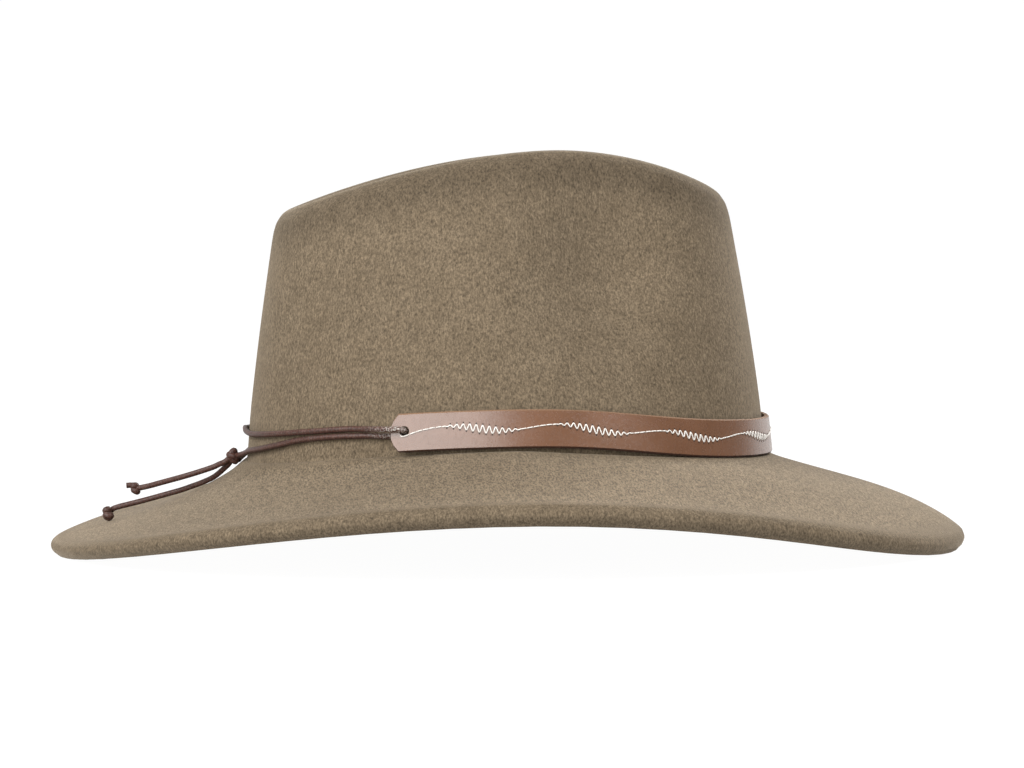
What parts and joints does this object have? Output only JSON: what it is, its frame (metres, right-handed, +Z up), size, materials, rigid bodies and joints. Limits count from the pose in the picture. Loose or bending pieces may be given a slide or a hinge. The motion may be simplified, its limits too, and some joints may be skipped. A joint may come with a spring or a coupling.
{
  "type": "felt hat",
  "caption": "Wide-brimmed brown felt hat with a creased, pinched crown and a stitched leather band laced behind with knotted waxed cord.",
  "frame": {"origin": "middle of the brim's outline, on the surface the hat rests on", "axes": "+X to the front of the hat, +Z up through the crown, +Y to the wearer's left"},
  "size_m": [0.3644, 0.32, 0.1576],
  "materials": {
    "felt": "matte brushed wool felt, grey-brown",
    "leather": "worn red-brown leather with a slight sheen",
    "cord": "dark brown waxed braided cord"
  },
  "bodies": {
    "root": {"felt_body": "felt", "leather_band": "leather", "cord_loop": "cord", "tail_long": "cord", "tail_short": "cord", "main_knot": "cord", "end_knot_long": "cord", "end_knot_short": "cord"}
  },
  "joints": []
}
